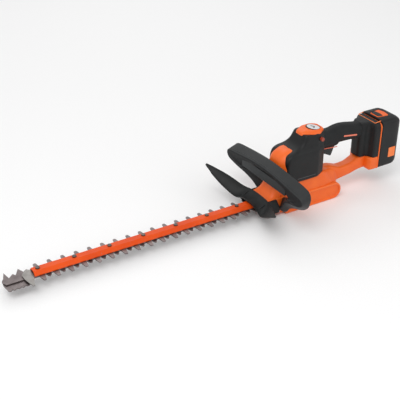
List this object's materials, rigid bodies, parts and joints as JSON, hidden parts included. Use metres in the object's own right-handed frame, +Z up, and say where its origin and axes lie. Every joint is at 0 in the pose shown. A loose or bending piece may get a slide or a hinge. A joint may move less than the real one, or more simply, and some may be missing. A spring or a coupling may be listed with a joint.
{
  "type": "hedge trimmer",
  "caption": "Cordless hedge trimmer with a saw-tipped double blade, wing guard, looped front handle, rear grip loop and slide-on battery.",
  "frame": {"origin": "on the flat underside of the gear housing, directly below the crank axis", "axes": "+X towards the battery at the rear, so the blade points to -X; +Z up; +Y to the user's left with the blade pointing away"},
  "size_m": [0.9963, 0.2936, 0.188],
  "materials": {
    "orange_shell": "satin moulded",
    "black_shell": "fine texture",
    "grip_rubber": "soft matte",
    "bar_paint": "semi gloss",
    "blade_steel": "ground",
    "bright_steel": "plated",
    "gear_steel": "machined",
    "cast_alloy": "cast",
    "copper_contact": "satin",
    "magnet_black": "matte",
    "button_grey": "satin",
    "board_green": "satin",
    "cell_wrap": "satin"
  },
  "bodies": {
    "housing": {"base_cover": "orange_shell", "left_gear_housing": "orange_shell", "right_gear_housing": "orange_shell", "left_rear_arm": "orange_shell", "right_rear_arm": "orange_shell", "left_nose": "orange_shell", "right_nose": "orange_shell", "left_motor_cover": "black_shell", "right_motor_cover": "black_shell", "top_cap": "orange_shell", "button_bezel": "black_shell", "boost_spring": "bright_steel", "left_grip": "grip_rubber", "right_grip": "grip_rubber", "grip_inlays": "orange_shell", "battery_dock": "black_shell", "dock_frame": "orange_shell", "dock_terminals": "copper_contact", "front_handle_bar": "black_shell", "left_handle_leg": "black_shell", "right_handle_leg": "black_shell", "switch_springs": "bright_steel", "left_guard": "black_shell", "right_guard": "black_shell", "guard_bridge": "black_shell", "blade_bar": "bar_paint", "tip_guard": "blade_steel", "bar_bolts": "bright_steel", "bar_bushes": "bright_steel", "wear_plate": "blade_steel", "lower_gear_case": "cast_alloy", "upper_gear_case": "cast_alloy", "crank_bearings": "bright_steel", "motor_can": "gear_steel", "motor_magnets": "magnet_black", "motor_brushes": "magnet_black", "motor_bearings": "bright_steel", "control_board": "board_green", "grip_switch": "black_shell", "trigger_pin": "bright_steel", "housing_screws": "bright_steel"},
    "crank": {"crank_shaft": "gear_steel", "crank_gear": "gear_steel", "upper_cam": "gear_steel", "lower_cam": "gear_steel"},
    "upper_blade": {"upper_blade": "blade_steel"},
    "lower_blade": {"lower_blade": "blade_steel"},
    "rotor": {"motor_shaft": "bright_steel", "armature": "copper_contact", "pinion": "gear_steel", "cooling_fan": "black_shell"},
    "trigger": {"trigger": "black_shell"},
    "lock_off": {"lock_off": "orange_shell"},
    "front_switch": {"front_switch": "black_shell"},
    "boost_button": {"boost_button": "button_grey"},
    "battery": {"battery_case": "black_shell", "battery_cells": "cell_wrap", "battery_terminals": "copper_contact", "latch_spring": "bright_steel"},
    "battery_latch": {"battery_latch": "orange_shell"}
  },
  "joints": [
    {"name": "crank_turn", "type": "hinge", "parent": "housing", "child": "crank", "pos_m": [0, 0, 0.03], "axis": [0, 0, 1], "range_deg": [-90, 90]},
    {"name": "upper_blade_slide", "type": "slide", "parent": "housing", "child": "upper_blade", "axis": [1, 0, 0], "range_m": [-0.0075, 0.0075]},
    {"name": "lower_blade_slide", "type": "slide", "parent": "housing", "child": "lower_blade", "axis": [1, 0, 0], "range_m": [-0.0075, 0.0075]},
    {"name": "rotor_spin", "type": "hinge", "parent": "housing", "child": "rotor", "pos_m": [0.033, 0, 0.1], "axis": [0, 0, 1], "range_deg": [-450, 450]},
    {"name": "trigger_pull", "type": "hinge", "parent": "housing", "child": "trigger", "pos_m": [0.102, 0, 0.141], "axis": [0, -1, 0], "range_deg": [0, 8], "stiffness_Nm_per_rad": 1.5, "springref_deg": -17.19},
    {"name": "lock_off_press", "type": "slide", "parent": "housing", "child": "lock_off", "axis": [0, 1, 0], "range_m": [0, 0.004], "stiffness_N_per_m": 600, "springref_m": -0.004},
    {"name": "front_switch_press", "type": "slide", "parent": "housing", "child": "front_switch", "axis": [0, 0, 1], "range_m": [0, 0.004], "stiffness_N_per_m": 600, "springref_m": -0.002, "deforming": ["switch_springs"]},
    {"name": "boost_button_press", "type": "slide", "parent": "housing", "child": "boost_button", "axis": [-0.1392, 0, -0.9903], "range_m": [0, 0.0015], "stiffness_N_per_m": 500, "springref_m": -0.002, "deforming": ["boost_spring"]},
    {"name": "battery_slide", "type": "slide", "parent": "housing", "child": "battery", "axis": [0, 0, 1], "range_m": [0, 0.11]},
    {"name": "battery_latch_press", "type": "slide", "parent": "battery", "child": "battery_latch", "axis": [0, 0, -1], "range_m": [0, 0.003], "stiffness_N_per_m": 500, "springref_m": -0.002, "deforming": ["latch_spring"]}
  ],
  "couplings": [
    {"joint": "upper_blade_slide", "follows": "crank_turn", "m_per_rad": -0.00477},
    {"joint": "lower_blade_slide", "follows": "crank_turn", "m_per_rad": 0.00477},
    {"joint": "rotor_spin", "follows": "crank_turn", "ratio": -5}
  ]
}
